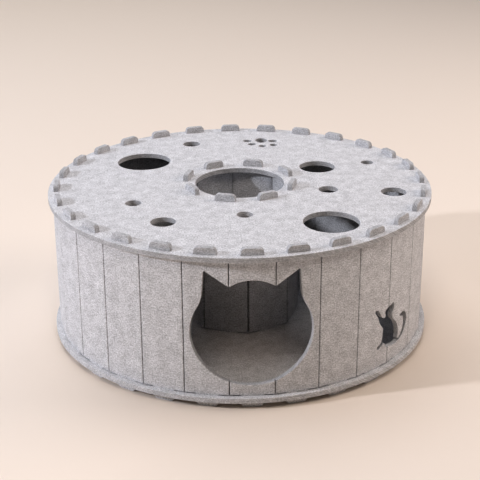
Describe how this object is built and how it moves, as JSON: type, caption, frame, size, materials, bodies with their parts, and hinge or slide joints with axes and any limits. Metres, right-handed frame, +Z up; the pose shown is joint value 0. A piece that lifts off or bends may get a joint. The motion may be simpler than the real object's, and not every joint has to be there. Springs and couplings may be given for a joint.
{
  "type": "felt donut cat tunnel",
  "caption": "Ring-shaped cat tunnel of thick grey felt: two round boards slotted over scored outer and inner walls, with a cat-head doorway and round peep holes.",
  "frame": {"origin": "on the floor, under the middle of the round boards, level with the ends of the lower tabs", "axes": "+Z up through the centre well, -Y out of the doorway, +X to the doorway's right seen from outside"},
  "size_m": [0.6, 0.6, 0.2455],
  "materials": {
    "felt": "thick needle-punched felt, mottled light grey, matt and slightly fuzzy"
  },
  "bodies": {
    "root": {"top_board": "felt", "base_board": "felt", "outer_wall": "felt", "inner_wall": "felt"}
  },
  "joints": []
}
